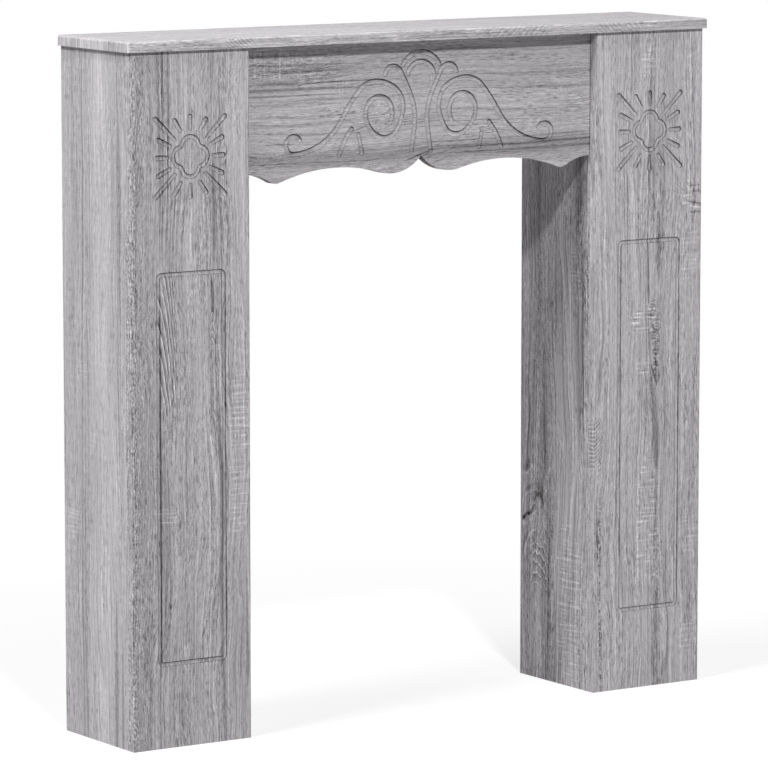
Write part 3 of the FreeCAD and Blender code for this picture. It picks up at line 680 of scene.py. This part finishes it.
beechPin = {"grain": upright, "seed": 9.0, "tone": 0.78, "contrast": 0.6, "middle": 0.0, "half": 1000.0,
            "tint": (1.0, 0.76, 0.52)}
castZinc = {"tone": 0.56, "mottle": 0.16, "scratch": 0.05, "tint": (0.98, 0.99, 1.02), "rough": (0.38, 0.56)}
platedSteel = {"tone": 0.58, "mottle": 0.1, "scratch": 0.08, "tint": (1.0, 0.99, 0.96), "rough": (0.26, 0.42)}
galvanised = {"tone": 0.48, "mottle": 0.08, "scratch": 0.06, "tint": (0.97, 0.99, 1.02),
              "rough": (0.34, 0.52), "spangle": 3.6, "spangleTone": 0.18}
metalForm = {"mottle": (1.6, 1.6, 3.0), "scratch": (0.22, 7.0, 0.14, 0.28), "darker": 0.1, "paler": 0.16,
             "bump": 0.2, "bumpDepth": 0.0002}


def makeMetalSkin():
    tree, given, out = newGroup("metalSkin", {"Vector": origin}, ["Mottle", "Scratch"])
    tree.links.new(grainNoise(tree, given["Vector"], *metalForm["mottle"]), out["Mottle"])
    tree.links.new(noiseMask(tree, given["Vector"], *metalForm["scratch"]), out["Scratch"])
    return tree


metalSkin = makeMetalSkin()


def metalFinish(name, finish):
    material, tree, shader = newMaterial(name)
    place = objectPlace(tree)
    skin = useGroup(tree, metalSkin, {"Vector": place})
    tone = total(tree, times(tree, skin["Mottle"], finish["mottle"]),
                 times(tree, skin["Scratch"], finish["scratch"]), finish["tone"])
    if "spangle" in finish:      # crystal flowers of hot dip zinc
        keys = {"Vector": place, "Scale": 1 / finish["spangle"]}
        flowers = split(tree, wire(tree, "ShaderNodeTexVoronoi", keys).outputs["Color"])[0]
        tone = calc(tree, "MULTIPLY_ADD", flowers, finish["spangleTone"], tone)
    tree.links.new(vectorCalc(tree, "MULTIPLY", tone, finish["tint"]), shader.inputs["Base Color"])
    darkest = finish["tone"] - metalForm["darker"]
    palest = finish["tone"] + metalForm["paler"]
    tree.links.new(ease(tree, tone, darkest, palest, *finish["rough"]), shader.inputs["Roughness"])
    shader.inputs["Metallic"].default_value = 1.0
    addBump(tree, shader, skin["Mottle"], metalForm["bump"], metalForm["bumpDepth"])
    return material


steel = metalFinish("plated_steel", platedSteel)
zinc = metalFinish("cast_zinc", castZinc)
fastenerFinishes = {"dowels": oakDecor("beech_pin", beechPin), "bolts": steel, "screws": steel,
                    "locks": zinc, "bracket": metalFinish("galvanised_steel", galvanised)}
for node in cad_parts:
    for ending, finish in fastenerFinishes.items():
        if node.endswith(ending):
            dress(node, finish)


# cam locks and bracket screws again, with rims, dishes and tapered drives, set on the CAD ones

camLock = {"Radius": 0.0074, "Depth": 0.012, "Rim": 0.0011, "Dish": 0.0006, "Slot Length": 0.0084,
           "Slot Width": 0.0016, "Slot Depth": 0.0024, "Turn": 0.5}
bracketScrew = {"Radius": 0.0032, "Depth": 0.002, "Shank Radius": 0.0016, "Shank Length": 0.01,
                "Slot Length": 0.0042, "Slot Width": 0.0008, "Slot Depth": 0.0012, "Turn": 1.4}
fastenerForm = {"drumSides": 40, "shankSides": 24, "coneSides": 24, "markSides": 3, "headRings": 16,
                "headSegments": 32, "coneWidth": 1.3, "coneTip": 0.3, "coneDrop": -0.6, "shankTop": -0.9,
                "halfSpace": 0.02, "creaseAngle": 0.5}
fastenerSeed = 11


def newField(name, sizes):
    tree = bpy.data.node_groups.new(name, "GeometryNodeTree")
    tree.interface.new_socket("Spots", in_out="INPUT", socket_type="NodeSocketGeometry")
    for label, value in sizes.items():
        tree.interface.new_socket(label, in_out="INPUT", socket_type="NodeSocketFloat").default_value = value
    tree.interface.new_socket("Fasteners", in_out="OUTPUT", socket_type="NodeSocketGeometry")
    return tree, tree.nodes.new("NodeGroupInput").outputs, tree.nodes.new("NodeGroupOutput").inputs


def moved(tree, mesh, x=0.0, z=0.0, turn=0.0):
    keys = {"Geometry": mesh, "Translation": join(tree, x, 0.0, z), "Rotation": (0.0, 0.0, turn)}
    return wire(tree, "GeometryNodeTransform", keys).outputs[0]


def roundBar(tree, radius, depth, sides, z=0.0):
    keys = {"Vertices": sides, "Radius": radius, "Depth": depth}
    return moved(tree, wire(tree, "GeometryNodeMeshCylinder", keys).outputs["Mesh"], z=z)


def combine(tree, operation, mesh, others):
    node = wire(tree, "GeometryNodeMeshBoolean", operation=operation, solver="EXACT")
    if operation == "DIFFERENCE":
        tree.links.new(mesh, node.inputs["Mesh 1"])
    else:
        others = [mesh] + others
    for other in others:
        tree.links.new(other, node.inputs["Mesh 2"])
    return node.outputs["Mesh"]


def crossDrive(tree, given):
    deep = times(tree, given["Slot Depth"], 2.0)
    bar = join(tree, given["Slot Length"], given["Slot Width"], deep)
    slot = wire(tree, "GeometryNodeMeshCube", {"Size": bar}).outputs["Mesh"]
    wide = times(tree, given["Slot Width"], fastenerForm["coneWidth"])
    cone = {"Vertices": fastenerForm["coneSides"], "Radius Top": wide,
            "Radius Bottom": times(tree, wide, fastenerForm["coneTip"]), "Depth": deep}
    taper = wire(tree, "GeometryNodeMeshCone", cone).outputs["Mesh"]
    drop = times(tree, deep, fastenerForm["coneDrop"])
    return [slot, moved(tree, slot, turn=quarter), moved(tree, taper, z=drop)]


def scatter(tree, given, out, pattern, material):
    axis = wire(tree, "GeometryNodeInputNamedAttribute", {"Name": "facing"}, data_type="FLOAT_VECTOR")
    aim = wire(tree, "FunctionNodeAlignRotationToVector", {"Vector": axis.outputs[0]}, axis="Z").outputs[0]
    keys = {2: times(tree, given["Turn"], -1.0), 3: given["Turn"], "Seed": fastenerSeed}
    spin = wire(tree, "FunctionNodeRandomValue", keys, data_type="FLOAT").outputs[1]
    keys = {0: aim, 1: join(tree, z=spin)}
    turned = wire(tree, "FunctionNodeRotateRotation", keys, rotation_space="LOCAL").outputs[0]
    keys = {"Points": given["Spots"], "Instance": pattern, "Rotation": turned}
    placed = wire(tree, "GeometryNodeInstanceOnPoints", keys).outputs[0]
    whole = wire(tree, "GeometryNodeRealizeInstances", {0: placed}).outputs[0]
    soft = wire(tree, "GeometryNodeSetShadeSmooth", {"Geometry": whole}, domain="FACE").outputs[0]
    keys = {0: wire(tree, "GeometryNodeInputMeshEdgeAngle").outputs[0], 1: fastenerForm["creaseAngle"]}
    crease = wire(tree, "FunctionNodeCompare", keys, operation="GREATER_THAN").outputs[0]
    keys = {"Geometry": soft, "Selection": crease, "Shade Smooth": False}
    edged = wire(tree, "GeometryNodeSetShadeSmooth", keys, domain="EDGE").outputs[0]
    painted = wire(tree, "GeometryNodeSetMaterial", {"Geometry": edged, "Material": material}).outputs[0]
    tree.links.new(painted, out["Fasteners"])
    return tree


def makeCamLockField():
    tree, given, out = newField("camLockField", camLock)
    sides = fastenerForm["drumSides"]
    drum = roundBar(tree, given["Radius"], given["Depth"], sides, times(tree, given["Depth"], -0.5))
    inner = minus(tree, given["Radius"], given["Rim"])
    dish = roundBar(tree, inner, times(tree, given["Dish"], 2.0), sides)
    mark = roundBar(tree, given["Rim"], times(tree, given["Dish"], 4.0), fastenerForm["markSides"])
    mark = moved(tree, mark, x=minus(tree, inner, given["Rim"]))      # shows the open side
    dished = combine(tree, "DIFFERENCE", drum, [dish])
    lock = combine(tree, "DIFFERENCE", dished, crossDrive(tree, given) + [mark])
    return scatter(tree, given, out, lock, zinc)


def makeScrewField():
    tree, given, out = newField("screwField", bracketScrew)
    keys = {"Segments": fastenerForm["headSegments"], "Rings": fastenerForm["headRings"], "Radius": 1.0}
    ball = wire(tree, "GeometryNodeMeshUVSphere", keys).outputs["Mesh"]
    stretch = join(tree, given["Radius"], given["Radius"], given["Depth"])
    dome = wire(tree, "GeometryNodeTransform", {"Geometry": ball, "Scale": stretch}).outputs[0]
    sides = fastenerForm["shankSides"]
    above = fastenerForm["halfSpace"]
    upperHalf = roundBar(tree, times(tree, given["Radius"], 2.0), above, sides, above / 2)
    head = moved(tree, combine(tree, "INTERSECT", dome, [upperHalf]), z=times(tree, given["Depth"], -1.0))
    top = times(tree, given["Depth"], fastenerForm["shankTop"])
    middle = calc(tree, "MULTIPLY_ADD", given["Shank Length"], -0.5, top)
    shank = roundBar(tree, given["Shank Radius"], given["Shank Length"], sides, middle)
    blank = combine(tree, "UNION", head, [shank])
    screw = combine(tree, "DIFFERENCE", blank, crossDrive(tree, given))
    return scatter(tree, given, out, screw, steel)


def fastenerSpots(node, axis, fitting):
    # lowest and highest corner of each fastener in the node
    groups = []
    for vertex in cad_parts[node].data.vertices:
        for group in groups:
            gap = vertex.co - group[0]
            along = abs(gap[axis])
            gap[axis] = 0.0
            if gap.length < fitting["across"] and along < fitting["along"]:
                group.append(vertex.co.copy())
                break
        else:
            groups.append([vertex.co.copy()])
    return [(Vector([min(side) for side in zip(*group)]), Vector([max(side) for side in zip(*group)]))
            for group in groups]


def headWay(axis, middle):
    if axis == 0:      # cheeks: heads look into their column
        return 1.0 if middle.x < math.copysign(columnMiddle, middle.x) else -1.0
    return 1.0 if axis == 1 else -1.0      # out of the back, or downwards


def setFasteners(node, axis, fitting):
    spots = []
    facings = []
    for low, high in fastenerSpots(node, axis, fitting):
        middle = (low + high) / 2
        way = headWay(axis, middle)
        middle[axis] = high[axis] if way > 0 else low[axis]
        spots.append(middle)
        facings += [way if step == axis else 0.0 for step in range(3)]
    data = bpy.data.meshes.new(node + "_spots")
    data.from_pydata(spots, [], [])
    data.attributes.new("facing", "FLOAT_VECTOR", "POINT").data.foreach_set("vector", facings)
    piece = bpy.data.objects.new(node + "_detailed", data)
    bpy.context.collection.objects.link(piece)
    modifier = piece.modifiers.new("field", "NODES")
    modifier.node_group = fitting["field"]
    for item in fitting["field"].interface.items_tree:
        if item.in_out == "INPUT" and item.name in fitting["sizes"]:
            modifier[item.identifier] = fitting["sizes"][item.name]
    made = bpy.data.meshes.new_from_object(piece.evaluated_get(bpy.context.evaluated_depsgraph_get()))
    piece.modifiers.clear()
    piece.data = made
    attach(piece, "root")
    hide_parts(node)
    print(node, len(spots), "fasteners,", len(made.polygons), "faces")


# across and along: the room that one fastener takes
lockFitting = {"field": makeCamLockField(), "sizes": camLock, "slot": "cam_zinc",
               "across": 0.016, "along": 0.02}
screwFitting = {"field": makeScrewField(), "sizes": bracketScrew, "slot": "bolt_steel",
                "across": 0.008, "along": 0.02}
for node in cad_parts:
    if node.endswith("screws"):
        setFasteners(node, 2, screwFitting)
    elif node.endswith("locks"):
        setFasteners(node, 1 if "brace" in node or "frieze" in node else 0, lockFitting)
print("fasteners set")


# studio: pale floor, white surroundings, soft key from the front and a side light

studio = {"floorSize": 60.0, "floorTone": 0.4, "floorRoughness": 0.9, "ambient": 0.0, "shadow": 0.26,
          "shadowNear": 0.5, "shadowFar": 1.5}
lamps = {"frontKey": {"place": (-1.9, -4.9, 5.3), "size": 0.6, "power": 398, "glare": True},
         "leftSoftbox": {"place": (-6.6, -1.16, 7.9), "size": 3.2, "power": 960, "glare": True},
         "backFill": {"place": (1.0, 5.2, 0.5), "size": 0.9, "power": 190, "glare": False},
         "rightFill": {"place": (5.2, 1.0, 0.5), "size": 0.9, "power": 150, "glare": False}}


def shownRays(tree):
    # what is seen straight on, in metal or through glass
    ray = wire(tree, "ShaderNodeLightPath").outputs
    return chain(tree, "MAXIMUM", (ray["Is Camera Ray"], ray["Is Glossy Ray"], ray["Is Transmission Ray"]))


def makeFloor():
    bpy.ops.mesh.primitive_plane_add(size=studio["floorSize"])
    floor = bpy.context.object
    floor.name = "studioFloor"
    material, tree, shader = newMaterial("palePaper")
    shader.inputs["Roughness"].default_value = studio["floorRoughness"]
    seen = wire(tree, "ShaderNodeLightPath").outputs["Is Camera Ray"]
    tree.links.new(ease(tree, seen, 0.0, 1.0, studio["floorTone"], 1.0), shader.inputs["Base Color"])
    place = wire(tree, "ShaderNodeTexCoord").outputs["Object"]
    far = wire(tree, "ShaderNodeVectorMath", {0: place}, operation="LENGTH").outputs["Value"]
    bright = ease(tree, far, studio["shadowNear"], studio["shadowFar"], 1.0 - studio["shadow"], 1.0)
    glow = wire(tree, "ShaderNodeEmission", {"Color": white, "Strength": 1.0}).outputs[0]
    keys = {0: times(tree, bright, shownRays(tree)), 1: shader.outputs[0], 2: glow}
    mixed = wire(tree, "ShaderNodeMixShader", keys).outputs[0]
    tree.links.new(mixed, tree.nodes["Material Output"].inputs["Surface"])
    floor.data.materials.append(material)


def makeWorld():
    world = bpy.data.worlds.new("whiteRoom")
    bpy.context.scene.world = world
    world.use_nodes = True
    tree = world.node_tree
    background = tree.nodes["Background"]
    background.inputs["Color"].default_value = white
    strength = ease(tree, shownRays(tree), 0.0, 1.0, studio["ambient"], 1.0)
    tree.links.new(strength, background.inputs["Strength"])


def makeLamp(name, form):
    data = bpy.data.lights.new(name, "AREA")
    data.shape = "DISK"
    data.size = form["size"]
    data.energy = form["power"]
    lamp = bpy.data.objects.new(name, data)
    bpy.context.collection.objects.link(lamp)
    lamp.location = form["place"]
    lamp.visible_glossy = form["glare"]
    target = (cadBox[0] + cadBox[1]) / 2
    lamp.rotation_euler = (target - Vector(form["place"])).to_track_quat("-Z", "Y").to_euler()


makeFloor()
makeWorld()
for name, form in lamps.items():
    makeLamp(name, form)
print("studio lit")

camera = {"lens": 237.71, "sensor": 36.0, "farthest": 100.0, "place": (-4.0569, -6.1325, 1.4585),
          "turn": 33.404, "dip": 7.604}


def makeCamera():
    data = bpy.data.cameras.new("photoCamera")
    data.lens = camera["lens"]
    data.sensor_width = camera["sensor"]
    data.clip_end = camera["farthest"]
    view = bpy.data.objects.new("photoCamera", data)
    bpy.context.collection.objects.link(view)
    view.location = camera["place"]
    view.rotation_euler = (quarter - math.radians(camera["dip"]), 0.0, -math.radians(camera["turn"]))
    bpy.context.scene.camera = view


makeCamera()
bpy.context.scene.view_settings.view_transform = "Standard"

print("finishing")
